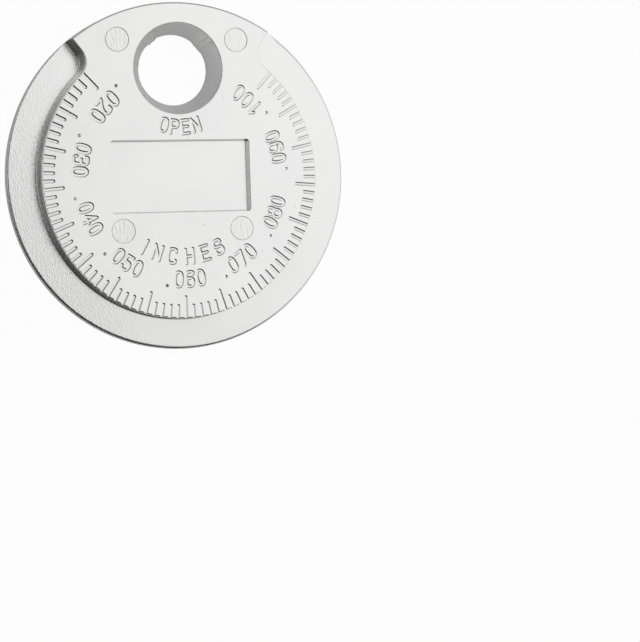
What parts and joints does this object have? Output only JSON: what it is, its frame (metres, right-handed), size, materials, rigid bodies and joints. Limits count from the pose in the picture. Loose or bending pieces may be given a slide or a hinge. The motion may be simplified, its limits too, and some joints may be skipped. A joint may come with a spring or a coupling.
{
  "type": "spark plug gap gauge",
  "caption": "Coin-shaped gap gauge with a tapering ramp rim, inch marks on the front, millimetre marks on the back, and a tapered hole that bends an electrode.",
  "frame": {"origin": "centre of the coin on its back face, which rests on the floor", "axes": "+Z out of the front face, +Y from the centre towards the tapered hole, +X to the thick end of the ramp's side"},
  "size_m": [0.045, 0.045, 0.0032],
  "materials": {
    "plated_metal": "bright nickel-chrome plating over a die-cast zinc body, slightly grainy"
  },
  "bodies": {
    "root": {"gauge_body": "plated_metal"}
  },
  "joints": []
}
